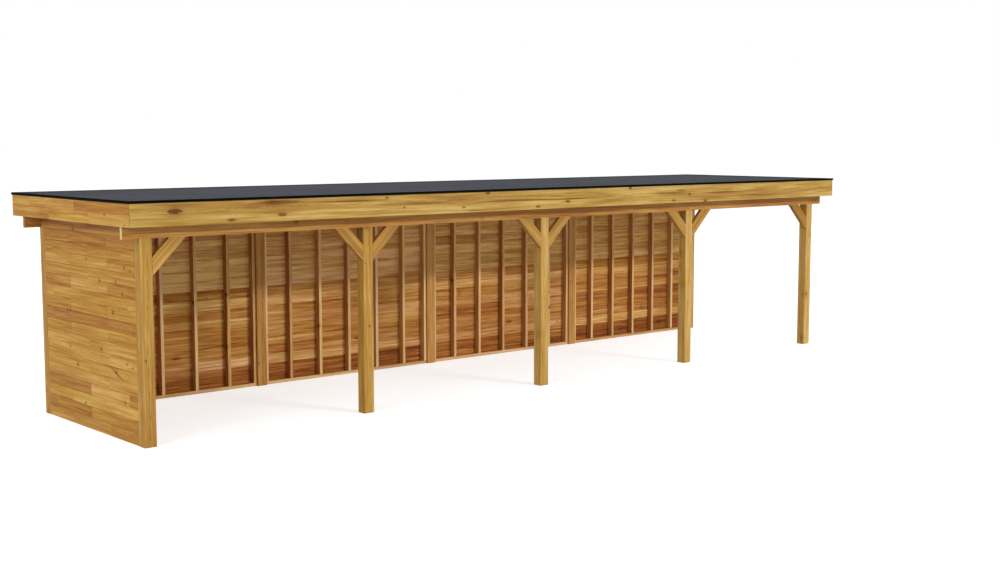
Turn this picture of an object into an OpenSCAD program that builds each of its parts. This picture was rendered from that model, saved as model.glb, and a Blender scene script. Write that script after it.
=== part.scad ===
// Freestanding timber veranda with a flat roof.
// The back and the left end are boarded; the front and the right end are open.
// Origin: middle of the roof outline, at ground level. The front looks along -Y.

/* [Layout] */
// Number of bays along the front
bays = 4; // [2:1:5]
// Distance from one post to the next, same face to same face
bay_length = 3000; // [2400:50:3600]
// Depth over the outer faces of the front and back posts
depth = 2710; // [2200:10:3600]
// Height from the ground to the underside of the beams
clear_height = 2350; // [2000:10:2700]

/* [Posts and braces] */
// Side of the square posts
post_w = 145; // [115:5:180]
// Bevel along the long edges of posts and braces
edge_bevel = 4; // [1:1:8]
// How far a brace reaches along the underside of the beam
brace_reach = 420; // [300:10:600]
// Width of a brace, across its length
brace_w = 145; // [90:5:160]
// Thickness of a brace, front to back
brace_t = 60; // [40:5:80]

/* [Beams and roof] */
// Thickness of the beam planks
beam_t = 45; // [35:1:60]
// Height of the beam planks
beam_h = 220; // [170:5:260]
// Length of the half-lap that joins two beam lengths over a post
lap_length = 100; // [80:5:110]
// Joint left between the two halves of a lap
lap_gap = 2; // [1:0.5:4]
// Thickness of a joist
joist_t = 45; // [35:1:60]
// Height of a joist
joist_h = 170; // [120:5:220]
// Greatest distance between joist centres
joist_spacing = 600; // [400:25:700]
// Thickness of the roof boards
deck_t = 18; // [15:1:24]
// Thickness of the roof felt
felt_t = 4; // [3:1:6]
// Roof overhang past the front posts, to the outside of the fascia
front_overhang = 230; // [150:5:400]
// Roof overhang past the back posts, to the outside of the fascia
back_overhang = 260; // [150:5:400]
// Roof overhang past the end posts, to the outside of the fascia
end_overhang = 230; // [150:5:400]

/* [Fascia and edge trim] */
// Thickness of the fascia boards
fascia_t = 20; // [18:1:28]
// How far the fascia hangs below the joists
fascia_drop = 80; // [20:5:120]
// Height of the trim's face
trim_h = 30; // [20:1:60]
// How far the trim's face hangs below the roof boards
trim_drop = 8; // [4:1:20]
// How far the trim's face stands out from the fascia
trim_out = 10; // [5:1:20]
// How far the trim reaches inwards from the fascia's outer face
trim_in = 14; // [10:1:30]
// Sheet thickness of the trim
trim_t = 2; // [1.5:0.5:3]

/* [Walls] */
// Thickness of the horizontal wall boards
board_t = 20; // [16:1:28]
// Rows of wall boards from the ground to the beams
board_rows = 17; // [14:1:20]
// Width and depth of the V joint between two rows of boards
board_joint = 6; // [3:1:8]
// Depth of the wall frames behind the boards
frame_d = 60; // [45:1:75]
// Thickness of studs and rails
stud_t = 45; // [35:1:60]
// Distance between stud centres, set out from the middle of a panel
stud_spacing = 500; // [400:25:650]

/* [Hidden] */
// Outline of the posts on the ground
length = bays * bay_length + post_w;
left_x = -length / 2;
right_x = length / 2;
front_y = -(depth + back_overhang - front_overhang) / 2;
back_y = front_y + depth;

// Outline of the fascia's outer faces
roof_left = left_x - end_overhang;
roof_right = right_x + end_overhang;
roof_front = front_y - front_overhang;
roof_back = back_y + back_overhang;

// Levels, from the beams up
joist_z = clear_height + beam_h;
deck_z = joist_z + joist_h;
roof_z = deck_z + deck_t;
fascia_z = joist_z - fascia_drop;
fascia_h = roof_z - fascia_z;
trim_z = roof_z - trim_drop;
trim_top = trim_z + trim_h;

// Inside length and width of the fascia, which the joists fill
joist_left = roof_left + fascia_t;
joist_right = roof_right - fascia_t;
joist_bays = ceil((joist_right - joist_left - joist_t) / joist_spacing);
joist_pitch = (joist_right - joist_left - joist_t) / joist_bays;

board_cover = clear_height / board_rows;
panel_length = bay_length - post_w;
end_panel_length = depth - 2 * post_w;

// Small overlap that keeps cuts clean
cut = 1;

posts = [1 : bays + 1];
panels = [1 : bays];

// ---------- shared shapes ----------

// X of the left face of post number i
function post_x(i) = left_x + (i - 1) * bay_length;

// Rectangle with bevelled corners, from the origin
module bevelled_rect(w, d, bevel) {
    polygon([
        [bevel, 0], [w - bevel, 0], [w, bevel], [w, d - bevel],
        [w - bevel, d], [bevel, d], [0, d - bevel], [0, bevel]
    ]);
}

// Board along X with mitred ends: the outer face at y = 0, the inner face at y = t
module mitred_board(l, t, h) {
    linear_extrude(height = h)
        polygon([[0, 0], [l, 0], [l - t, t], [t, t]]);
}

// Places its child on one side of a rectangle, the child's outer face outwards.
// side: 0 front, 1 right, 2 back, 3 left
module on_side(side, x0, x1, y0, y1) {
    corner = [[x0, y0], [x1, y0], [x1, y1], [x0, y1]][side];
    translate([corner[0], corner[1], 0])
        rotate([0, 0, 90 * side])
            children();
}

// ---------- posts ----------

// Post with its outer face at y = 0, rebated there for the beam.
// end: -1 or 1 adds a second rebate on the left or right face, 0 adds none
module rebated_post(end) {
    difference() {
        linear_extrude(height = joist_z)
            bevelled_rect(post_w, post_w, edge_bevel);
        translate([-cut, -cut, clear_height])
            cube([post_w + 2 * cut, beam_t + cut, beam_h + cut]);
        if (end == -1)
            translate([-cut, -cut, clear_height])
                cube([beam_t + cut, post_w + 2 * cut, beam_h + cut]);
        if (end == 1)
            translate([post_w - beam_t, -cut, clear_height])
                cube([beam_t + cut, post_w + 2 * cut, beam_h + cut]);
    }
}

// Which end of the row post number i stands at
function row_end(i) = i == 1 ? -1 : i == bays + 1 ? 1 : 0;

module front_post(i) {
    color("#C19A55")
        translate([post_x(i), front_y, 0])
            rebated_post(row_end(i));
}

module back_post(i) {
    color("#BE924E")
        translate([post_x(i), back_y, 0])
            mirror([0, 1, 0])
                rebated_post(row_end(i));
}

// ---------- beams ----------

// Middle X of the posts over which the long beams are joined
lap_x = [for (i = [3 : 2 : bays]) post_x(i) + post_w / 2];

// The cut that parts two lengths at a half-lap: a step half-way up the beam
module lap_cut(x) {
    half = lap_length / 2;
    middle_z = clear_height + beam_h / 2;
    translate([x - half - lap_gap / 2, -cut, middle_z - lap_gap / 2])
        cube([lap_gap, beam_t + 2 * cut, beam_h / 2 + lap_gap / 2 + cut]);
    translate([x + half - lap_gap / 2, -cut, clear_height - cut])
        cube([lap_gap, beam_t + 2 * cut, beam_h / 2 + lap_gap / 2 + cut]);
    translate([x - half - lap_gap / 2, -cut, middle_z - lap_gap / 2])
        cube([lap_length + lap_gap, beam_t + 2 * cut, lap_gap]);
}

// Beam along X from fascia to fascia, its outer face at y = 0
module long_beam() {
    difference() {
        translate([joist_left, 0, clear_height])
            cube([joist_right - joist_left, beam_t, beam_h]);
        for (x = lap_x)
            lap_cut(x);
    }
}

module front_beam() {
    color("#B9894A")
        translate([0, front_y, 0])
            long_beam();
}

module back_beam() {
    color("#B9894A")
        translate([0, back_y, 0])
            mirror([0, 1, 0])
                long_beam();
}

// Beam along Y, between the long beams
module end_beam(x) {
    color("#B9894A")
        translate([x, front_y + beam_t, clear_height])
            cube([beam_t, depth - 2 * beam_t, beam_h]);
}

module left_beam() {
    end_beam(left_x);
}

module right_beam() {
    end_beam(right_x - beam_t);
}

// ---------- braces ----------

// Brace from a post face at x = 0 up to the beam, its outer face at y = 0.
// Both ends are cut at 45 degrees, upright on the post and level under the beam.
module brace() {
    top = brace_reach - brace_w * sqrt(2);
    translate([0, brace_t, clear_height])
        rotate([90, 0, 0])
            linear_extrude(height = brace_t)
                polygon([[0, -brace_reach], [brace_reach, 0], [top, 0], [0, -top]]);
}

module brace_right(i) {
    color("#C2975A")
        translate([post_x(i) + post_w, front_y, 0])
            brace();
}

module brace_left(i) {
    color("#C2975A")
        translate([post_x(i), front_y, 0])
            mirror([1, 0, 0])
                brace();
}

// ---------- roof ----------

module roof_joists() {
    color("#B48347")
        for (i = [0 : joist_bays])
            translate([joist_left + i * joist_pitch, roof_front + fascia_t, joist_z])
                cube([joist_t, roof_back - roof_front - 2 * fascia_t, joist_h]);
}

module roof_deck() {
    color("#B98C52")
        translate([joist_left, roof_front + fascia_t, deck_z])
            cube([joist_right - joist_left, roof_back - roof_front - 2 * fascia_t, deck_t]);
}

// Felt on the roof boards, turned up against the trim
module roof_felt() {
    l = roof_right - roof_left - 2 * trim_in;
    w = roof_back - roof_front - 2 * trim_in;
    h = trim_top - trim_t - roof_z;
    color("#54565F")
        translate([roof_left + trim_in, roof_front + trim_in, roof_z])
            difference() {
                cube([l, w, h]);
                translate([felt_t, felt_t, felt_t])
                    cube([l - 2 * felt_t, w - 2 * felt_t, h]);
            }
}

module fascia(side) {
    l = side % 2 == 0 ? roof_right - roof_left : roof_back - roof_front;
    color("#C49B5C")
        on_side(side, roof_left, roof_right, roof_front, roof_back)
            translate([0, 0, fascia_z])
                mitred_board(l, fascia_t, fascia_h);
}

// Folded sheet that caps the roof edge: a riser on the boards, a top and a face
module trim_section() {
    polygon([
        [-trim_out, trim_z], [-trim_out, trim_top], [trim_in, trim_top], [trim_in, roof_z],
        [trim_in - trim_t, roof_z], [trim_in - trim_t, trim_top - trim_t],
        [trim_t - trim_out, trim_top - trim_t], [trim_t - trim_out, trim_z]
    ]);
}

// Trim along one side, with mitred ends
module trim(side) {
    l = side % 2 == 0 ? roof_right - roof_left : roof_back - roof_front;
    reach = trim_in + cut;
    color("#26221F")
        on_side(side, roof_left, roof_right, roof_front, roof_back)
            intersection() {
                translate([-trim_out, 0, 0])
                    rotate([90, 0, 90])
                        linear_extrude(height = l + 2 * trim_out)
                            trim_section();
                translate([0, 0, trim_z - cut])
                    linear_extrude(height = trim_h + 2 * cut)
                        polygon([
                            [-trim_out, -trim_out], [l + trim_out, -trim_out],
                            [l - reach, reach], [reach, reach]
                        ]);
            }
}

// ---------- walls ----------

// Stud centres along a panel of length l, set out from its middle
function stud_centres(l) =
    let (n = floor((l / 2 - 1.5 * stud_t) / stud_spacing))
    [for (k = [-n : n]) l / 2 + k * stud_spacing];

// Frame of rails and studs, from the origin along X, frame_d deep along Y
module wall_frame(l) {
    for (z = [0, clear_height - stud_t])
        translate([0, 0, z])
            cube([l, frame_d, stud_t]);
    for (x = [0, l - stud_t])
        translate([x, 0, 0])
            cube([stud_t, frame_d, clear_height]);
    for (x = stud_centres(l))
        translate([x - stud_t / 2, 0, 0])
            cube([stud_t, frame_d, clear_height]);
}

// Rows of boards, from the origin along X, the outer face at y = 0.
// A V joint parts the rows on the outer face.
module wall_boards(l) {
    v = board_joint / 2;
    outer = [
        for (i = [1 : board_rows - 1], k = [-1 : 1])
            [k == 0 ? board_joint : 0, i * board_cover + k * v]
    ];
    rotate([90, 0, 90])
        linear_extrude(height = l)
            polygon(concat(
                [[board_t, 0], [0, 0]], outer, [[0, clear_height], [board_t, clear_height]]
            ));
}

// Places its child between back posts i and i + 1, with y = 0 at their outer faces
module in_back_bay(i) {
    translate([post_x(i) + post_w, back_y, 0])
        mirror([0, 1, 0])
            children();
}

// Places its child between the left end posts, with y = 0 at their outer faces
module in_left_end() {
    translate([left_x, back_y - post_w, 0])
        rotate([0, 0, -90])
            children();
}

module back_wall_frame(i) {
    color("#A9743F")
        in_back_bay(i)
            translate([0, board_t, 0])
                wall_frame(panel_length);
}

module back_wall_boards(i) {
    color("#9B6A38")
        in_back_bay(i)
            wall_boards(panel_length);
}

module left_wall_frame() {
    color("#A9743F")
        in_left_end()
            translate([0, board_t, 0])
                wall_frame(end_panel_length);
}

module left_wall_boards() {
    color("#B98A4A")
        in_left_end()
            wall_boards(end_panel_length);
}

// ---------- assembly ----------

for (i = posts) {
    front_post(i);
    back_post(i);
}
front_beam();
back_beam();
left_beam();
right_beam();
for (i = panels) {
    brace_right(i);
    brace_left(i + 1);
}
roof_joists();
roof_deck();
roof_felt();
fascia(0);  // front_fascia
fascia(1);  // right_fascia
fascia(2);  // back_fascia
fascia(3);  // left_fascia
trim(0);  // front_trim
trim(1);  // right_trim
trim(2);  // back_trim
trim(3);  // left_trim
for (i = panels) {
    back_wall_frame(i);
    back_wall_boards(i);
}
left_wall_frame();
left_wall_boards();
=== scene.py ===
"""The looks of the freestanding timber veranda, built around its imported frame."""

import math
import random

import bmesh
import bpy
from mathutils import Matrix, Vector


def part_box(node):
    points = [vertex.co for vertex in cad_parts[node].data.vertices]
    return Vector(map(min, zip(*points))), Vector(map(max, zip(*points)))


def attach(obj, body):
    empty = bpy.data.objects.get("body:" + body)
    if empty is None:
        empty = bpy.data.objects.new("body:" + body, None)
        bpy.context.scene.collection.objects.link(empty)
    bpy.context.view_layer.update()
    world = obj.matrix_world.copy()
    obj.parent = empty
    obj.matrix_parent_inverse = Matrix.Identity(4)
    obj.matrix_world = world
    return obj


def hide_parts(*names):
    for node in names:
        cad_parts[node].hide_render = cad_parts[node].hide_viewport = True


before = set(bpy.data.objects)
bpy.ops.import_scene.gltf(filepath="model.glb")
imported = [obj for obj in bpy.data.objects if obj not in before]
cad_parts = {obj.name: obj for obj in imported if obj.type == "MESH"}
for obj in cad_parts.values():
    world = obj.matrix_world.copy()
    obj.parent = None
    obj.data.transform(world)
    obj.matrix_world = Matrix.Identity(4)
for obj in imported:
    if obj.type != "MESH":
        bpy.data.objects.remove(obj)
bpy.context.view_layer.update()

RIG = "root"


# ---------- colours ----------

def rgb(code):
    """Linear colour of an sRGB hex code."""
    parts = [int(code[i:i + 2], 16) / 255 for i in (1, 3, 5)]
    linear = [c / 12.92 if c <= 0.04045 else ((c + 0.055) / 1.055) ** 2.4 for c in parts]
    return (*linear, 1.0)


# A timber's colours over its shade, from 0, pale, to 1, dark
PLANED = ("#D6B06C", "#C29B4A", "#B08332", "#9E6824", "#844E16")
WIDE = ("#CCAE74", "#BA9650", "#A67C38", "#906228", "#76481A")
FASCIA = ("#C6AE74", "#B4964E", "#A07C38", "#886028", "#70481A")
BEAM = ("#D4AC6C", "#C2934E", "#AC7838", "#925C24", "#724014")
SAWN = ("#F8D090", "#D2A464", "#BE8644", "#9E5E26", "#703812")
STUD_TONES = ("#F2D8AC", "#E8C794", "#D8B078", "#B88A50", "#8C5E30")
# Colours of the sides of studs and rails, darker than their fronts: painted shade of the narrow gaps
# beside them
STUD_SIDES_PAINTED_SHADE = ("#DCB078", "#CC9A60", "#BA8248", "#9C6634", "#764620")
SHADED = ("#E4C088", "#D6AC6C", "#C49452", "#A67438", "#7E5020")
KNOT_CORE = "#6E3C0C"
KNOT_BARK = "#3C1E06"
CRACKED = "#4A2610"
CUT_END = "#E4CC9C"
# What a golden board's colour and a rosy one's are multiplied by
SOFT_TINTS = ((1.03, 1.0, 0.80, 1.0), (1.0, 0.92, 0.93, 1.0))
STRONG_TINTS = ((1.03, 1.02, 0.80, 1.0), (1.0, 0.89, 0.98, 1.0))


# ---------- shader graphs ----------

class Graph:
    """Short calls for building one material's node tree."""

    def __init__(self, name):
        self.material = bpy.data.materials.new(name)
        self.material.use_nodes = True
        self.tree = self.material.node_tree
        self.tree.nodes.clear()
        self.output = self.node("ShaderNodeOutputMaterial")

    def node(self, kind, **settings):
        made = self.tree.nodes.new(kind)
        for key, value in settings.items():
            setattr(made, key, value)
        return made

    def feed(self, socket, value):
        """Links value into socket if it is a socket, or else sets it as the constant."""
        if isinstance(value, bpy.types.NodeSocket):
            self.tree.links.new(value, socket)
        elif value is not None:
            socket.default_value = value

    def math(self, operation, a, b=None, c=None):
        made = self.node("ShaderNodeMath", operation=operation)
        for socket, value in zip(made.inputs, (a, b, c)):
            self.feed(socket, value)
        return made.outputs[0]

    def total(self, *parts):
        """Sum of (value, weight) pairs."""
        result = 0.0
        for value, weight in parts:
            result = self.math("MULTIPLY_ADD", value, weight, result)
        return result

    def vector(self, operation, a, b=None):
        made = self.node("ShaderNodeVectorMath", operation=operation)
        self.feed(made.inputs[0], a)
        self.feed(made.inputs[1], b)
        return made.outputs["Value" if operation in ("LENGTH", "DOT_PRODUCT") else "Vector"]

    def split(self, vector):
        made = self.node("ShaderNodeSeparateXYZ")
        self.feed(made.inputs[0], vector)
        return tuple(made.outputs)

    def join(self, *parts):
        made = self.node("ShaderNodeCombineXYZ")
        for socket, value in zip(made.inputs, parts):
            self.feed(socket, value)
        return made.outputs[0]

    def noise(self, place, stretch, detail=2.0, rough=0.5):
        """Noise of about 0 to 1, with stretch features in a metre along each direction."""
        made = self.node("ShaderNodeTexNoise")
        self.feed(made.inputs["Vector"], self.vector("MULTIPLY", place, stretch))
        made.inputs["Scale"].default_value = 1.0
        made.inputs["Detail"].default_value = detail
        made.inputs["Roughness"].default_value = rough
        return made.outputs["Fac"]

    def ramp(self, fac, low, high, to_low=0.0, to_high=1.0):
        """Maps low..high smoothly onto to_low..to_high, held at the ends."""
        made = self.node("ShaderNodeMapRange", interpolation_type="SMOOTHSTEP")
        for socket, value in zip(made.inputs, (fac, low, high, to_low, to_high)):
            self.feed(socket, value)
        return made.outputs[0]

    def palette(self, fac, codes):
        """Colours spread evenly over 0 to 1."""
        made = self.node("ShaderNodeValToRGB")
        stops = made.color_ramp.elements
        for place in range(1, len(codes) - 1):
            stops.new(place / (len(codes) - 1))
        for stop, code in zip(stops, codes):
            stop.color = rgb(code)
        self.feed(made.inputs[0], fac)
        return made.outputs[0]

    def mix(self, fac, a, b, blend="MIX"):
        """Blends two colours: sockets 6, 7 and 2 are the node's colour ones."""
        made = self.node("ShaderNodeMix", data_type="RGBA", blend_type=blend)
        for socket, value in zip((made.inputs[0], made.inputs[6], made.inputs[7]), (fac, a, b)):
            self.feed(socket, value)
        return made.outputs[2]

    def object_place(self):
        return self.node("ShaderNodeTexCoord").outputs["Object"]

    def attribute(self, name, output="Fac"):
        return self.node("ShaderNodeAttribute", attribute_name=name).outputs[output]

    def bump(self, height, distance):
        made = self.node("ShaderNodeBump")
        self.feed(made.inputs["Height"], height)
        made.inputs["Distance"].default_value = distance
        return made.outputs[0]

    def surface(self, colour, roughness, normal=None, metallic=0.0, specular=0.5):
        shader = self.node("ShaderNodeBsdfPrincipled")
        self.feed(shader.inputs["Base Color"], colour)
        self.feed(shader.inputs["Roughness"], roughness)
        self.feed(shader.inputs["Normal"], normal)
        shader.inputs["Metallic"].default_value = metallic
        shader.inputs["Specular IOR Level"].default_value = specular
        self.tree.links.new(shader.outputs[0], self.output.inputs["Surface"])
        return self.material


# ---------- timber ----------

# Width of a growth ring, and of a cell that may hold one knot
RING = 0.0042
KNOT_CELL = 0.24
# Offset in Y from one like member's grain to the next
MEMBER_STEP = 3.7
# Distance that no mark reaches
FAR = 9.0
# Shade of plain timber, from which spread says how far a mesh's boards differ
MIDDLE_TONE = 0.45
# What a metre along a 45 degree brace covers in X, and in Z
DIAGONAL = math.sqrt(0.5)
AXES = {"X": (1, 0, 0), "Y": (0, 1, 0), "Z": (0, 0, 1)}


def member_grain(axis, pith, shift=0.0, repeat=None):
    """Place in a member: metres along the grain, then the two offsets from its pith line.

    axis is X, Y or Z, or UP or DOWN for a brace that rises or falls towards +X. pith is
    a point on the pith line, and repeat is (start, pitch) of like members set along X.
    """
    def place(g):
        x, y, z = g.split(g.vector("SUBTRACT", g.object_place(), pith))
        if repeat:
            start, pitch = repeat
            steps = g.math("DIVIDE", g.math("SUBTRACT", x, start - pitch / 2 - pith[0]), pitch)
            x = g.math("MULTIPLY", g.math("SUBTRACT", g.math("FRACT", steps), 0.5), pitch)
            y = g.math("MULTIPLY_ADD", g.math("FLOOR", steps), MEMBER_STEP, y)
        if axis in ("UP", "DOWN"):
            slope = DIAGONAL if axis == "UP" else -DIAGONAL
            order = (g.total((x, DIAGONAL), (z, slope)), y, g.total((z, DIAGONAL), (x, -slope)))
        else:
            order = {"X": (x, y, z), "Y": (y, x, z), "Z": (z, x, y)}[axis]
        return g.join(g.math("ADD", order[0], shift), order[1], order[2])
    return place


def board_grain(g):
    """Place that the board meshes carry."""
    return g.attribute("grain", "Vector")


def nearest(g, plane, marks):
    """Distance to the nearest of some lens shapes on a face, 1 at its edge.

    plane names the face's two directions, and each mark is (first, second, half
    length, half height) in the object's own metres, with its slope last if it has one.
    """
    parts = dict(zip("XYZ", g.split(g.object_place())))
    flat = g.join(parts[plane[0]], parts[plane[1]], 0.0)
    found = FAR
    for first, second, half_length, half_height, *slope in marks:
        offset = g.vector("SUBTRACT", flat, (first, second, 0.0))
        if slope:
            u, v, _ = g.split(offset)
            offset = g.join(u, g.math("MULTIPLY_ADD", u, -slope[0], v), 0.0)
        p, q, _ = g.split(g.vector("DIVIDE", offset, (half_length, half_height, 1.0)))
        found = g.math("MINIMUM", found, g.math("MULTIPLY_ADD", p, p, g.math("ABSOLUTE", q)))
    return found


def knot_distance(g, place, share, girth):
    """Distance to a knot over the knot's size, where each cell has one chance of a knot."""
    cell = g.node("ShaderNodeTexVoronoi")
    g.feed(cell.inputs["Vector"], place)
    cell.inputs["Scale"].default_value = 1 / KNOT_CELL
    chance, width, _ = g.split(cell.outputs["Color"])
    size = g.total((width, 0.017 * girth), (1.0, 0.007 * girth))
    near = g.math("DIVIDE", g.math("MULTIPLY", cell.outputs["Distance"], KNOT_CELL), size)
    return g.math("ADD", near, g.math("MULTIPLY", g.math("GREATER_THAN", chance, share), FAR))


def with_knots(g, colour, near, ragged, fine, depth):
    """Colour with its knots: a brown core, darker in the middle, in a ring of dark bark."""
    heart = g.math("MAXIMUM", g.ramp(near, 0.8, 0.1, 0.0, 0.7), g.ramp(fine, 0.35, 0.65, 0.0, 0.4))
    core = g.mix(heart, rgb(KNOT_CORE), rgb(KNOT_BARK))
    colour = g.mix(g.ramp(near, 1.25, 0.9, 0.0, depth), colour, core)
    bark = g.math("MULTIPLY", g.ramp(near, 1.15, 0.95), g.ramp(near, 0.4, 0.85))
    bark = g.math("MULTIPLY", bark, g.ramp(ragged, 0.62, 0.42, 0.25 * depth, 0.85 * depth))
    return g.mix(bark, colour, rgb(KNOT_BARK))


def with_cut_ends(g, colour, late, axis):
    """Colour with pale cut ends, ringed with late wood, on the faces that look along axis."""
    normal = g.node("ShaderNodeNewGeometry").outputs["Normal"]
    facing = g.math("ABSOLUTE", g.vector("DOT_PRODUCT", normal, AXES[axis]))
    ends = g.mix(g.math("MULTIPLY", late, 0.5), rgb(CUT_END), colour)
    return g.mix(g.math("GREATER_THAN", facing, 0.9), colour, ends)


def timber(name, grain, colours, tone=MIDDLE_TONE, hue=0.5, figure=1.0, sawn=0.0, knots=0.3,
           girth=1.0, knot_depth=0.7, spread=1.0, tints=SOFT_TINTS, axis=None, plane="XZ",
           placed_knots=(), placed_streaks=(), placed_cracks=()):
    """Softwood: growth rings round a pith line, streaks, fibres, knots and drying cracks.

    grain gives the place in metres, tone is the board's shade from 0, pale, to 1, dark,
    and hue its tint from 0, golden, to 1, rosy. figure is how strongly it is streaked,
    sawn how rough the saw left it, and axis the direction whose faces are cut ends.
    knots is the share of cells with a knot, girth the knots' size and knot_depth how
    dark they are. spread is how far the boards of one mesh differ in shade, and tints
    are the two ends of hue. The placed marks lie on the face that plane names.
    """
    g = Graph(name)
    place = grain(g)
    _, v, w = g.split(place)
    if grain is board_grain:
        tone = g.total((g.attribute("tone"), spread), (1.0, MIDDLE_TONE * (1 - spread)))
        hue = g.attribute("hue")

    # rings: the pith wanders along the board
    wander = g.noise(place, (0.9, 4.0, 4.0))
    across = g.vector("LENGTH", g.join(0.0, v, w))
    radius = g.math("MULTIPLY_ADD", wander, 0.06, across)

    # the rings bend round the knots, whose edges are ragged
    near = knot_distance(g, place, knots, girth)
    if placed_knots:
        near = g.math("MINIMUM", near, nearest(g, plane, placed_knots))
    ragged = g.noise(place, (40.0, 90.0, 90.0))
    near = g.total((near, 1.0), (ragged, 0.5), (1.0, -0.25))
    pull = g.ramp(near, 4.0, 0.8)
    radius = g.math("MULTIPLY_ADD", pull, 0.014, radius)

    phase = g.math("FRACT", g.math("DIVIDE", radius, RING))
    late = g.math("MULTIPLY", g.ramp(phase, 0.2, 0.9), g.ramp(phase, 1.0, 0.94))
    broad = g.noise(place, (0.55, 8.0, 8.0), 1.0)
    streak = g.noise(place, (1.3, 34.0, 34.0), 3.0, 0.6)
    fine = g.noise(place, (3.0, 170.0, 170.0))
    fibre = g.noise(place, (14.0, 900.0, 900.0))

    # the last term takes off what the noises and the rings add on average
    shade = g.total((tone, 1.0), (broad, 0.6 * figure), (streak, 0.95 * figure), (fine, 0.45),
                    (late, 0.16), (fibre, 0.12), (pull, 0.15), (1.0, -0.775 * figure - 0.345))
    if placed_streaks:
        stain = g.ramp(nearest(g, plane, placed_streaks), 1.3, 0.1)
        shade = g.math("MULTIPLY_ADD", stain, 0.5, shade)
    colour = g.palette(shade, colours)
    tint = g.total((hue, 1.0), (g.noise(place, (1.6, 20.0, 20.0), 1.0), 1.6), (1.0, -0.8))
    colour = g.mix(1.0, colour, g.mix(g.ramp(tint, 0.0, 1.0), *tints), "MULTIPLY")

    # drying cracks: rare, thin and long
    crack = g.ramp(g.noise(place, (0.8, 75.0, 75.0), 1.0), 0.735, 0.775)
    if placed_cracks:
        split = g.total((nearest(g, plane, placed_cracks), 1.0), (ragged, 1.2), (1.0, -0.6))
        crack = g.math("MAXIMUM", crack, g.ramp(split, 1.1, 0.6))

    # the cracks run over the knots
    colour = with_knots(g, colour, near, ragged, fine, knot_depth)
    colour = g.mix(g.math("MULTIPLY", crack, 0.8), colour, rgb(CRACKED))
    if axis:
        colour = with_cut_ends(g, colour, late, axis)

    height = g.total((late, 0.3), (fibre, 0.5), (crack, -2.0))
    if sawn:
        teeth = g.noise(place, (330.0, 16.0, 16.0))
        height = g.math("MULTIPLY_ADD", teeth, 1.6 * sawn, height)
    rough = g.total((streak, 0.2), (1.0, 0.5 + 0.2 * sawn))
    return g.surface(colour, rough, g.bump(height, 0.0006 + 0.001 * sawn), specular=0.18)


# ---------- other materials ----------

def membrane():
    """Rubber roof sheet: matt slate grey with dust and dried rain marks."""
    g = Graph("roof_membrane")
    place = g.object_place()
    grit = g.noise(place, (260.0, 260.0, 260.0), 2.0)
    cloud = g.noise(place, (0.9, 1.3, 1.0), 4.0, 0.6)
    mark = g.noise(place, (5.0, 5.0, 5.0), 3.0)
    swept = g.noise(place, (0.3, 7.0, 1.0), 2.0)
    shade = g.total((cloud, 0.5), (mark, 0.3), (swept, 0.4), (grit, 0.35), (1.0, -0.28))
    colour = g.palette(shade, ("#3F4145", "#494B50", "#54565B", "#606268"))
    ripple = g.noise(place, (1.2, 2.5, 1.0), 2.0)
    height = g.total((grit, 0.03), (ripple, 1.0))
    return g.surface(colour, g.ramp(mark, 0.3, 0.7, 0.8, 0.92), g.bump(height, 0.006), specular=0.0)


def coated_metal():
    """Black coated sheet of the roof trim."""
    g = Graph("roof_trim")
    place = g.object_place()
    dust = g.noise(place, (6.0, 6.0, 6.0), 4.0)
    grain = g.noise(place, (900.0, 900.0, 900.0))
    colour = g.palette(g.ramp(dust, 0.35, 0.75), ("#040404", "#090808", "#121110"))
    return g.surface(colour, g.ramp(dust, 0.3, 0.7, 0.7, 0.85), g.bump(grain, 0.00005), specular=0.02)


def plated_steel():
    """Dull yellow plated steel of the screw heads."""
    g = Graph("plated_screws")
    spots = g.noise(g.object_place(), (70.0, 70.0, 70.0), 3.0)
    colour = g.palette(spots, ("#6C5630", "#86703E", "#A0884E"))
    return g.surface(colour, g.ramp(spots, 0.3, 0.7, 0.45, 0.65), metallic=0.8)


# ---------- meshes ----------

def new_object(name, mesh):
    made = bpy.data.objects.new(name, mesh)
    bpy.context.scene.collection.objects.link(made)
    return made


def carried(piece, slot, *nodes):
    """Rides the piece on the part's one body, and lets it stand for its CAD nodes."""
    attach(piece, RIG)
    if nodes:
        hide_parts(*nodes)
    return piece


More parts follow.
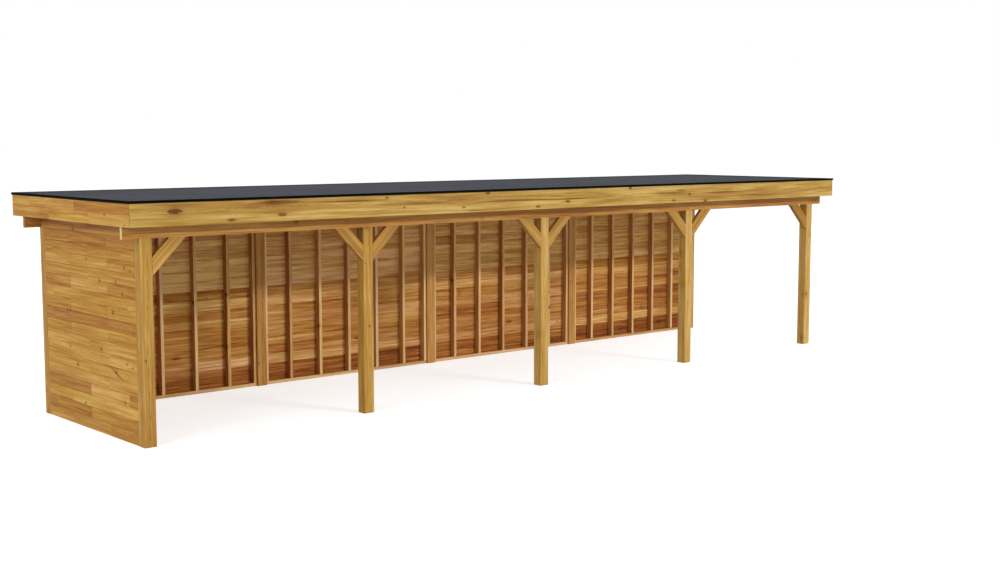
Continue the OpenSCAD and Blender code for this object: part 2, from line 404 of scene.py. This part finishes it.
class Boards:
    """Gathers boards into one mesh that carries each board's grain, tone and hue."""

    END_EASE = 0.0018
    # Metres over which the boards' grain may start
    GRAIN_RUN = 80

    def __init__(self, seed):
        self.random = random.Random(seed)
        self.points, self.faces, self.finish = [], [], []
        self.grain, self.tone, self.hue = [], [], []

    def add(self, start, along, across, out, length, outline, tone, hue, back=(), mitre=(0, 0)):
        """One board: outline points are (across, out) in metres, swept along for length.

        back lists the outline's sides that take the second material, and mitre says
        which ends are cut back towards the board's inner face. The pith line lies
        outside the board, so that each board shows its own rings.
        """
        start, along, across, out = (Vector(v) for v in (start, along, across, out))
        shift = self.random.uniform(0, self.GRAIN_RUN)
        width = max(p[0] for p in outline)
        depth = max(p[1] for p in outline)
        pith = (self.random.uniform(-0.2, 1.2) * width, -self.random.uniform(0.01, 0.07))
        slope = self.random.uniform(-0.01, 0.01)
        hue += self.random.uniform(-0.15, 0.15)
        first, count = len(self.points), len(outline)
        middle = (width / 2, depth / 2)
        ease = self.END_EASE
        rings = ((0.0, ease, 0), (ease, 0.0, 0), (length - ease, 0.0, 1), (length, ease, 1))
        for reach, inset, end in rings:
            for a, o in outline:
                a += math.copysign(inset, middle[0] - a)
                o += math.copysign(inset, middle[1] - o)
                cut = (depth - o) * (-mitre[1] if end else mitre[0])
                self.points.append(start + along * (reach + cut) + across * a + out * o)
                self.grain.append((reach + shift, a - pith[0] + slope * reach, o - pith[1]))
                self.tone.append(tone)
                self.hue.append(hue)
        for ring in range(len(rings) - 1):
            for k in range(count):
                a = first + ring * count + k
                b = first + ring * count + (k + 1) % count
                self.faces.append((a, b, b + count, a + count))
                self.finish.append(1 if k in back else 0)
        last = first + (len(rings) - 1) * count
        self.faces.append(tuple(first + k for k in reversed(range(count))))
        self.faces.append(tuple(last + k for k in range(count)))
        self.finish += [0, 0]

    def build(self, name, *materials):
        mesh = bpy.data.meshes.new(name)
        mesh.from_pydata(self.points, [], self.faces)
        for material in materials:
            mesh.materials.append(material)
        mesh.polygons.foreach_set("material_index", self.finish)
        grain = mesh.attributes.new("grain", "FLOAT_VECTOR", "POINT")
        grain.data.foreach_set("vector", [c for p in self.grain for c in p])
        for key, values in (("tone", self.tone), ("hue", self.hue)):
            mesh.attributes.new(key, "FLOAT", "POINT").data.foreach_set("value", values)
        outward(mesh)
        return new_object(name, mesh)


def outward(mesh):
    """Turns every face of the mesh to look outwards."""
    shape = bmesh.new()
    shape.from_mesh(mesh)
    bmesh.ops.recalc_face_normals(shape, faces=shape.faces)
    shape.to_mesh(mesh)
    shape.free()
    mesh.update()


class Heads:
    """Gathers low domed screw heads into one mesh."""

    SIDES = 8
    RADIUS = 0.0042
    RISE = 0.0012
    SUNK = 0.001

    def __init__(self):
        self.points, self.faces = [], []

    def add(self, place, out):
        out = Vector(out).normalized()
        side = out.orthogonal().normalized()
        up = out.cross(side)
        first = len(self.points)
        turns = [2 * math.pi * k / self.SIDES for k in range(self.SIDES)]
        rings = ((self.RADIUS, -self.SUNK), (self.RADIUS, 0.3 * self.RISE),
                 (0.6 * self.RADIUS, self.RISE))
        for reach, height in rings:
            for turn in turns:
                spoke = side * math.cos(turn) + up * math.sin(turn)
                self.points.append(Vector(place) + spoke * reach + out * height)
        for ring in (0, 1):
            for k in range(self.SIDES):
                a = first + ring * self.SIDES + k
                b = first + ring * self.SIDES + (k + 1) % self.SIDES
                self.faces.append((a, b, b + self.SIDES, a + self.SIDES))
        self.faces.append(tuple(first + k for k in reversed(range(self.SIDES))))
        self.faces.append(tuple(first + 2 * self.SIDES + k for k in range(self.SIDES)))

    def build(self, name, slot, material):
        mesh = bpy.data.meshes.new(name)
        mesh.from_pydata(self.points, [], self.faces)
        mesh.materials.append(material)
        outward(mesh)
        return carried(new_object(name, mesh), slot)


# ---------- sizes read from the frame ----------

def corners(node):
    """Lowest and highest corners of a CAD node."""
    return [Vector(corner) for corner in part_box(node)]


def low(node):
    return corners(node)[0]


def high(node):
    return corners(node)[1]


def centre(node):
    return (low(node) + high(node)) / 2


def named(*starts):
    return [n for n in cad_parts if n.startswith(starts)]


CLEAR_HEIGHT = low("front_beam").z
BOARD_ROWS = 17
COVER = CLEAR_HEIGHT / BOARD_ROWS
STUD = 0.045
# The photo shows deeper studs than the CAD frames' 60 mm
STUD_DEPTH = 0.095
STUD_PITCH = 0.5
PANELS = len(named("back_wall_boards_"))


def stud_places(length):
    """Stud centres along a wall frame: both ends, and set out from the middle between them."""
    steps = math.floor((length / 2 - 1.5 * STUD) / STUD_PITCH)
    inner = [length / 2 + k * STUD_PITCH for k in range(-steps, steps + 1)]
    return [STUD / 2, *inner, length - STUD / 2]


# ---------- timber finishes ----------

# Marks that stand out on the left wall (placed along Y and Z) and on the inside of
# the back wall (along X and Z), then half their length, half their height and slope
LEFT_KNOTS = (
    (-0.32, 1.81, 0.022, 0.016), (-0.90, 1.70, 0.014, 0.024), (-0.97, 2.0, 0.02, 0.012),
    (-1.11, 1.97, 0.02, 0.01), (-0.32, 1.0, 0.022, 0.014), (-0.97, 0.9, 0.02, 0.012),
    (-1.12, 0.875, 0.02, 0.01), (-0.90, 0.45, 0.014, 0.022), (0.54, 0.94, 0.02, 0.012),
    (0.02, 2.04, 0.022, 0.01), (0.6, 1.38, 0.014, 0.02), (0.15, 0.3, 0.02, 0.012),
)
LEFT_CRACKS = ((-0.70, 0.765, 0.22, 0.012, 0.36),)
BACK_KNOTS = ((-4.26, 0.495, 0.055, 0.011), (-1.3, 0.5, 0.05, 0.011), (1.7, 0.48, 0.05, 0.012))
BACK_CRACKS = (
    (-3.60, 0.607, 0.40, 0.006, 0.06), (-2.45, 0.665, 0.38, 0.005, 0.05), (-0.6, 0.61, 0.3, 0.005, 0.06),
    (2.2, 0.64, 0.35, 0.005, 0.05), (-2.3, 0.11, 0.3, 0.005, 0.05), (5.1, 0.61, 0.3, 0.005, 0.05),
)

PLANED_BOARDS = timber("planed_boards", board_grain, PLANED, figure=1.2, knots=0.22, spread=0.7,
                       plane="YZ", placed_knots=LEFT_KNOTS, placed_cracks=LEFT_CRACKS)
SAWN_BOARDS = timber("sawn_boards", board_grain, SAWN, figure=1.25, sawn=1.0, knots=0.2,
                     tints=STRONG_TINTS, placed_knots=BACK_KNOTS, placed_cracks=BACK_CRACKS)
STUDS = timber("stud_timber", board_grain, STUD_TONES, sawn=0.4, knots=0.25)
# The sides of studs and rails: sawn roughness, and painted shade in their darker colours
STUD_FLANKS_PAINTED_SHADE = timber("sawn_stud_sides_painted_shade", board_grain, STUD_SIDES_PAINTED_SHADE, sawn=0.8, knots=0.25)
DECKING = timber("deck_boards", board_grain, SHADED, sawn=0.3, knots=0.3)
SCREWS = plated_steel()


# ---------- walls ----------

# Rows of boards counted from the ground that stand out from the others, and the
# shade of each sort. A mixed row has a pale board between dark ones.
SHADES = {"dark": 0.72, "brown": 0.51, "plain": 0.50, "pale": 0.31, "light": 0.26, "palest": 0.12}
# On the left wall the top row, under the eave, is dark partly as painted shade of the fascia
SIDE_ROWS_WITH_PAINTED_SHADE = {2: "dark", 3: "palest", 4: "mixed", 7: "pale", 8: "light", 10: "dark", 13: "mixed",
             17: "dark"}
# On the inside of the back wall the rows from the eleventh up are painted paler: painted light where the
# roof keeps the light off
BACK_ROWS_WITH_PAINTED_LIGHT = {1: "dark", 2: "dark", 3: "pale", 7: "pale", 9: "pale", 10: "brown", 11: "palest",
             12: "palest", 13: "palest", 14: "light", 15: "palest", 16: "light", 17: "palest"}
# Numbers of butt joints that a row may have
SIDE_JOINTS = (1, 2, 2)
BACK_JOINTS = (0, 0, 1)
# How much darker single panels of the back wall are painted: painted shade that evens the light over the
# bays, and painted light where it is below 0
PANEL_PAINTED_SHADE = {1: -0.03, 3: 0.04, 4: 0.11}
# Gap left at a butt joint, and the screws' places as shares of a board's cover
BUTT_GAP = 0.0012
SCREW_RISES = (0.24, 0.76)


def row_tone(rng, sort, part):
    """Shade of a board of one sort of row."""
    if sort == "mixed":
        sort = "pale" if part == 1 else "dark"
    return SHADES[sort] + rng.uniform(-0.09, 0.09)


# Section of a board: half the gap to the next one, its V edge outside and bevel
# inside, how far the tongue stands out and how deep the groove is
EDGE_GAP = 0.0012
VEE = 0.0045
BEVEL = 0.003
TONGUE = 0.005
GROOVE = 0.007


def tongued(width, thick, tongue=True):
    """Board section: tongue above, groove below, V edges outside and small bevels inside.

    The tongue and the slightly wider groove lie in the middle of the thickness.
    """
    foot, head = EDGE_GAP, width - EDGE_GAP
    upper = []
    if tongue:
        upper = [(head, 0.38 * thick), (width + TONGUE, 0.41 * thick),
                 (width + TONGUE, 0.59 * thick), (head, 0.62 * thick)]
    return [(foot + BEVEL, 0.0), (head - BEVEL, 0.0), (head, BEVEL), *upper,
            (head, thick - VEE), (head - VEE, thick), (foot + VEE, thick), (foot, thick - VEE),
            (foot, 0.65 * thick), (foot + GROOVE, 0.65 * thick), (foot + GROOVE, 0.35 * thick),
            (foot, 0.35 * thick), (foot, BEVEL)]


def room_side(outline):
    """Sides of a board section that face the room: its flat and the two bevels."""
    return (0, 1, len(outline) - 1)


def bar(width, depth, ease=0.0025):
    """Section of a planed bar with eased edges."""
    return ((ease, 0.0), (width - ease, 0.0), (width, ease), (width, depth - ease),
            (width - ease, depth), (ease, depth), (0.0, depth - ease), (0.0, ease))


# A bar's sides other than its room face and that face's eased edges, which take the darker flank
# colours: painted shade
BAR_SIDES = (2, 3, 4, 5, 6)


def staggered(rng, row, places, most):
    """Up to most butt joints at some of the places, which odd and even rows share out."""
    free = places[row % 2::2]
    return sorted(rng.sample(free, min(most, len(free))))


def clad(name, start, along, out, length, thick, rows, joints, heads, painted_shade=0.0):
    """Rows of boards from the ground up, on the outer side of a wall frame.

    joints are the numbers of butt joints that a row may have, and the last argument
    is how much darker all the boards are painted: painted shade, or painted light below 0.
    """
    start, along, out = Vector(start), Vector(along), Vector(out)
    boards = Boards(name)
    studs = stud_places(length)
    for row in range(1, BOARD_ROWS + 1):
        section = tongued(COVER, thick, row < BOARD_ROWS)
        hue = boards.random.uniform(0.1, 0.8)
        base = start + Vector((0, 0, (row - 1) * COVER))
        sort = rows.get(row, "plain")
        most = 2 if sort == "mixed" else boards.random.choice(joints)
        cuts = [0.0, *staggered(boards.random, row, studs[1:-1], most), length]
        for part, (a, b) in enumerate(zip(cuts, cuts[1:])):
            boards.add(base + along * (a + BUTT_GAP / 2), along, (0, 0, 1), out, b - a - BUTT_GAP,
                       section, row_tone(boards.random, sort, part) + painted_shade, hue, room_side(section))
        for stud in studs:
            for rise in SCREW_RISES:
                heads.add(base + along * stud + Vector((0, 0, COVER * rise)) + out * thick, out)
    return boards.build(name, PLANED_BOARDS, SAWN_BOARDS)


def wall_frame(name, start, along, out, length):
    """Rails at foot and head, and studs between them, from the room side outwards."""
    start, along = Vector(start), Vector(along)
    boards = Boards(name)
    rng = boards.random
    section = bar(STUD, STUD_DEPTH)
    for z in (0.0, CLEAR_HEIGHT - STUD):
        boards.add(start + Vector((0, 0, z)), along, (0, 0, 1), out, length, section,
                   rng.uniform(0.3, 0.6), rng.random(), BAR_SIDES)
    for stud in stud_places(length):
        boards.add(start + along * (stud - STUD / 2) + Vector((0, 0, STUD)), (0, 0, 1), along, out,
                   CLEAR_HEIGHT - 2 * STUD, section, rng.uniform(0.2, 0.6), rng.random(), BAR_SIDES)
    return boards.build(name, STUDS, STUD_FLANKS_PAINTED_SHADE)


wall_screws = Heads()
for number in range(1, PANELS + 1):
    node = f"back_wall_boards_{number}"
    a, b = corners(node)
    piece = clad(f"back_cladding_{number}", (a.x, a.y, 0), (1, 0, 0), (0, 1, 0), b.x - a.x,
                 b.y - a.y, BACK_ROWS_WITH_PAINTED_LIGHT, BACK_JOINTS, wall_screws, PANEL_PAINTED_SHADE.get(number, 0.0))
    carried(piece, "wall_boards", node)
    node = f"back_wall_frame_{number}"
    a, b = corners(node)
    piece = wall_frame(f"back_studs_{number}", (a.x, b.y - STUD_DEPTH, 0), (1, 0, 0), (0, 1, 0),
                       b.x - a.x)
    carried(piece, "wall_frame", node)

a, b = corners("left_wall_boards")
piece = clad("left_cladding", (b.x, a.y, 0), (0, 1, 0), (-1, 0, 0), b.y - a.y, b.x - a.x,
             SIDE_ROWS_WITH_PAINTED_SHADE, SIDE_JOINTS, wall_screws)
carried(piece, "wall_boards", "left_wall_boards")
a, b = corners("left_wall_frame")
piece = wall_frame("left_studs", (a.x + STUD_DEPTH, a.y, 0), (0, 1, 0), (-1, 0, 0), b.y - a.y)
carried(piece, "wall_frame", "left_wall_frame")
wall_screws.build("wall_screws", "wall_boards", SCREWS)


# ---------- roof ----------

JOIST = 0.045
# The joists are at most this far apart
JOIST_STEP = 0.6
DECK_ROWS = 23
DECK_GAP = 0.0008
joist_run = high("roof_joists").x - low("roof_joists").x - JOIST
JOIST_PITCH = joist_run / math.ceil(joist_run / JOIST_STEP)
# Joist centres along X
JOISTS = [low("roof_joists").x + JOIST / 2 + k * JOIST_PITCH
          for k in range(round(joist_run / JOIST_PITCH) + 1)]


def deck():
    """Roof boards whose V joints show from below, butted over the joists."""
    a, b = corners("roof_deck")
    boards = Boards("deck")
    rng = boards.random
    width = (b.y - a.y) / DECK_ROWS
    for row in range(DECK_ROWS):
        first = rng.randint(4, 8)
        cuts = [a.x, *JOISTS[first:-3:7], b.x]
        section = tongued(width, b.z - a.z, row < DECK_ROWS - 1)
        for p, q in zip(cuts, cuts[1:]):
            boards.add((p + DECK_GAP / 2, a.y + row * width, b.z), (1, 0, 0), (0, 1, 0), (0, 0, -1),
                       q - p - DECK_GAP, section, rng.uniform(0.25, 0.7), rng.random())
    return carried(boards.build("roof_boards", DECKING), "roof_timber", "roof_deck")


# Rows of the end fascias from their foot: the joints, as shares of the length from
# the front, and the shades of the boards between them
FASCIA_ROWS = (((0.32, 0.66), (0.33, 0.42, 0.54)), ((0.44, 0.84), (0.66, 0.46, 0.58)))
FASCIA_EASE = 0.0012
# Columns of screws on an end fascia, and how far the outer ones are from its ends
SCREW_COLUMNS = 6
SCREW_EDGE = 0.08


def end_fascia(node, side, heads):
    """Two rows of boards with staggered butt joints, mitred at the corners."""
    a, b = corners(node)
    boards = Boards(node)
    rng = boards.random
    height = (b.z - a.z) / len(FASCIA_ROWS)
    inner = b.x if side < 0 else a.x
    thick = b.x - a.x
    for row, (places, tones) in enumerate(FASCIA_ROWS):
        cuts = [a.y, *(a.y + (b.y - a.y) * place for place in places), b.y]
        for part, (p, q) in enumerate(zip(cuts, cuts[1:])):
            boards.add((inner, p, a.z + row * height), (0, 1, 0), (0, 0, 1), (side, 0, 0), q - p,
                       bar(height, thick, FASCIA_EASE), tones[part], rng.uniform(0.2, 0.8),
                       mitre=(part == 0, part == len(places)))
    for k in range(SCREW_COLUMNS):
        y = a.y + SCREW_EDGE + (b.y - a.y - 2 * SCREW_EDGE) * k / (SCREW_COLUMNS - 1)
        for rise in (0.25, 0.75, 1.25, 1.75):
            heads.add((inner + side * thick, y, a.z + height * rise), (side, 0, 0))
    return carried(boards.build(node + "_boards", PLANED_BOARDS), "fascia_timber", node)


deck()
fascia_screws = Heads()
end_fascia("left_fascia", -1, fascia_screws)
end_fascia("right_fascia", 1, fascia_screws)
for node, side in (("front_fascia", -1), ("back_fascia", 1)):
    a, b = corners(node)
    face = a.y if side < 0 else b.y
    for x in JOISTS[1:-1]:
        for rise in (0.2, 0.5, 0.8):
            fascia_screws.add((x, face, a.z + (b.z - a.z) * rise), (0, side, 0))
fascia_screws.build("fascia_screws", "fascia_timber", SCREWS)


# ---------- finishes of the CAD pieces ----------

def finish(material, *names):
    for name in names:
        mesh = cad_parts[name].data
        mesh.materials.clear()
        mesh.materials.append(material)


rng = random.Random("members")
# Metres over which the members' grain may start
GRAIN_RUN = 60

# Knots and brown streaks of the wide front board: metres from its left end and
# above its foot, then half their length and half their height
FRONT_KNOTS = (
    (0.54, 0.16, 0.10, 0.028), (1.25, 0.04, 0.05, 0.012), (1.80, 0.225, 0.085, 0.014),
    (1.92, 0.075, 0.06, 0.017), (3.43, 0.23, 0.03, 0.009), (3.70, 0.10, 0.018, 0.008),
    (4.66, 0.07, 0.03, 0.009), (5.07, 0.245, 0.04, 0.014), (5.96, 0.035, 0.04, 0.012),
    (6.52, 0.09, 0.05, 0.014), (7.76, 0.245, 0.03, 0.018), (8.69, 0.04, 0.05, 0.011),
    (9.04, 0.125, 0.025, 0.012), (9.40, 0.015, 0.04, 0.014),
)
FRONT_STREAKS = (
    (1.85, 0.22, 0.35, 0.03), (2.9, 0.205, 0.7, 0.016), (3.85, 0.145, 0.65, 0.02),
    (5.6, 0.13, 0.9, 0.014), (6.6, 0.125, 0.6, 0.012), (8.6, 0.15, 0.45, 0.018),
    (8.85, 0.185, 0.12, 0.02), (9.75, 0.135, 0.45, 0.010),
)
# Dark lines at its two mitred ends, and the dark middle of its largest knot
fascia_length = high("front_fascia").x - low("front_fascia").x
FRONT_MITRES = [(end, 0.134, 0.004, 0.4) for end in (0.0, fascia_length)]
DARK_HEART = (0.53, 0.16, 0.08, 0.018)


def on_face(node, marks):
    """Marks given from a member's lower left corner, moved to the object's place."""
    corner = low(node)
    return [(corner.x + u, corner.z + v, a, b) for u, v, a, b in marks]


def near_centre(node, spread):
    """A pith point within spread of a member's centre line."""
    return tuple(c + rng.uniform(-spread, spread) for c in centre(node))


def behind(node, *offset):
    """A pith point at an offset from a member's centre line."""
    return tuple(c + o + rng.uniform(-0.01, 0.01) for c, o in zip(centre(node), offset))


# Knots of single posts: metres from the left face and above the ground, then
# half their width and half their height
POST_KNOTS = {
    "front_post_1": ((0.032, 0.985, 0.013, 0.010),),
    "front_post_2": ((0.085, 1.108, 0.014, 0.012), (0.02, 1.9, 0.008, 0.012)),
    "back_post_2": ((0.018, 0.325, 0.011, 0.010),),
}

for node in named("front_post", "back_post"):
    front = node.startswith("front")
    tone = rng.uniform(0.36, 0.42) if node.endswith(("_1", "_2")) else rng.uniform(0.18, 0.26)
    # The back posts take a rosy hue, and all but back_post_1, whose outer face shows, the redder beam
    # colours: painted shade for the reddish cast of the shaded room
    colours = WIDE if front or node == "back_post_1" else BEAM
    grain = member_grain("Z", near_centre(node, 0.03), rng.uniform(0, GRAIN_RUN))
    finish(timber(node + "_timber", grain, colours, tone=tone,
                  hue=rng.uniform(0.1, 0.6) if front else 0.6, girth=1.2, axis="Z",
                  placed_knots=on_face(node, POST_KNOTS.get(node, ()))), node)
# Only the front beam has pale cut ends; the back beam's ends keep the timber's colour as painted shade
for node, side in (("front_beam", 1), ("back_beam", -1)):
    grain = member_grain("X", behind(node, 0, 0.06 * side, 0.04), rng.uniform(0, GRAIN_RUN))
    finish(timber(node + "_timber", grain, BEAM, tone=0.44, hue=0.65, axis="X" if side > 0 else None),
           node)
for node, side in (("left_beam", 1), ("right_beam", -1)):
    grain = member_grain("Y", behind(node, 0.06 * side, 0, 0.04), rng.uniform(0, GRAIN_RUN))
    finish(timber(node + "_timber", grain, BEAM, tone=0.5, axis="Y"), node)
for node in named("brace_"):
    axis = "UP" if node.endswith("right") else "DOWN"
    grain = member_grain(axis, behind(node, 0, 0.07, 0), rng.uniform(0, GRAIN_RUN))
    finish(timber(node + "_timber", grain, WIDE, tone=rng.uniform(0.42, 0.52)), node)
joist_centre = centre("roof_joists")
grain = member_grain("Y", (joist_centre.x, joist_centre.y, joist_centre.z + 0.03),
                     repeat=(JOISTS[0], JOIST_PITCH))
finish(timber("joist_timber", grain, SHADED, sawn=0.5, axis="Y"), "roof_joists")
grain = member_grain("X", behind("front_fascia", 0, 0.05, 0.03), 7.0)
finish(timber("front_fascia_timber", grain, FASCIA, tone=0.38, figure=1.3, knots=0.03,
              knot_depth=0.75, axis="X", placed_knots=on_face("front_fascia", FRONT_KNOTS),
              placed_streaks=on_face("front_fascia", FRONT_STREAKS),
              placed_cracks=on_face("front_fascia", [*FRONT_MITRES, DARK_HEART])), "front_fascia")
grain = member_grain("X", behind("back_fascia", 0, -0.05, 0.03), 31.0)
finish(timber("back_fascia_timber", grain, WIDE, tone=0.38, figure=1.3, axis="X"), "back_fascia")
finish(membrane(), "roof_felt")
finish(coated_metal(), *named("front_trim", "back_trim", "left_trim", "right_trim"))


# ---------- studio ----------

# Half the floor's width
FLOOR_REACH = 400.0
# How pale the floor is for light, and what the camera and reflections see on top
FLOOR_GREY = 0.55
FLOOR_LIFT = 0.68
LIGHT_DISTANCE = 40.0


def stage_floor():
    """Pale floor: it looks nearly white, and keeps the object's shadow."""
    g = Graph("studio_floor")
    path = g.node("ShaderNodeLightPath")
    seen = g.math("MAXIMUM", path.outputs["Is Camera Ray"], path.outputs["Is Glossy Ray"])
    diffuse = g.node("ShaderNodeBsdfDiffuse")
    diffuse.inputs["Color"].default_value = (FLOOR_GREY, FLOOR_GREY, FLOOR_GREY, 1)
    lift = g.node("ShaderNodeEmission")
    g.feed(lift.inputs["Strength"], g.math("MULTIPLY", seen, FLOOR_LIFT))
    both = g.node("ShaderNodeAddShader")
    g.feed(both.inputs[0], diffuse.outputs[0])
    g.feed(both.inputs[1], lift.outputs[0])
    g.feed(g.output.inputs["Surface"], both.outputs[0])
    square = [(x * FLOOR_REACH, y * FLOOR_REACH, 0) for x, y in ((-1, -1), (1, -1), (1, 1), (-1, 1))]
    mesh = bpy.data.meshes.new("floor")
    mesh.from_pydata(square, [], [(0, 1, 2, 3)])
    mesh.materials.append(g.material)
    new_object("floor", mesh)


def studio_world(strength):
    """White to the camera and to reflections, and soft light on the object."""
    world = bpy.data.worlds.new("studio")
    bpy.context.scene.world = world
    world.use_nodes = True
    tree = world.node_tree
    tree.nodes.clear()
    path = tree.nodes.new("ShaderNodeLightPath")
    seen = tree.nodes.new("ShaderNodeMath")
    seen.operation = "MAXIMUM"
    tree.links.new(path.outputs["Is Camera Ray"], seen.inputs[0])
    tree.links.new(path.outputs["Is Glossy Ray"], seen.inputs[1])
    # what lights the object has the given strength, and what is seen has 1
    level = tree.nodes.new("ShaderNodeMix")
    level.inputs[2].default_value = strength
    level.inputs[3].default_value = 1.0
    tree.links.new(seen.outputs[0], level.inputs[0])
    back = tree.nodes.new("ShaderNodeBackground")
    tree.links.new(level.outputs[0], back.inputs["Strength"])
    back.inputs["Color"].default_value = (1, 1, 1, 1)
    output = tree.nodes.new("ShaderNodeOutputWorld")
    tree.links.new(back.outputs[0], output.inputs[0])


def softbox(name, heading, elevation, level, width, height):
    """Panel that faces the object from a heading (0 is the front, 90 the right side).

    level is what it adds to a white surface that faces it, and the power follows
    from that and the distance.
    """
    turn, rise = math.radians(heading), math.radians(elevation)
    way = Vector((math.sin(turn) * math.cos(rise), -math.cos(turn) * math.cos(rise), math.sin(rise)))
    data = bpy.data.lights.new(name, "AREA")
    data.shape = "RECTANGLE"
    data.size, data.size_y = width, height
    data.energy = level * (math.pi * LIGHT_DISTANCE) ** 2
    made = bpy.data.objects.new(name, data)
    made.location = way * LIGHT_DISTANCE
    made.rotation_euler = (-way).to_track_quat("-Z", "Y").to_euler()
    bpy.context.scene.collection.objects.link(made)


# Each light's name, heading, elevation, level, width and height
LIGHTS = (
    ("front_light", 18, 23, 0.43, 10, 2.4),
    ("low_front_light", 12, 4, 0.08, 40, 4),
    ("left_light", -72, 22, 0.34, 20, 8),
    ("right_light", 100, 30, 0.20, 20, 10),
    ("back_light", 180, 30, 0.25, 30, 10),
)
WORLD_LEVEL = 0.63

stage_floor()
studio_world(WORLD_LEVEL)
for light in LIGHTS:
    softbox(*light)


# ---------- camera ----------

# Camera place from the middle of the floor, its heading from +X and its dip
CAMERA_PLACE = (-13.065, -15.49, 3.471)
CAMERA_HEADING = 49.08
CAMERA_DIP = 5.96


def camera():
    data = bpy.data.cameras.new("camera")
    data.lens = 50.0
    data.sensor_width = 36.0
    data.clip_end = 500
    made = bpy.data.objects.new("camera", data)
    made.location = CAMERA_PLACE
    made.rotation_euler = (math.radians(90 - CAMERA_DIP), 0, math.radians(CAMERA_HEADING - 90))
    bpy.context.scene.collection.objects.link(made)
    bpy.context.scene.camera = made


camera()
bpy.context.scene.view_settings.view_transform = "Standard"
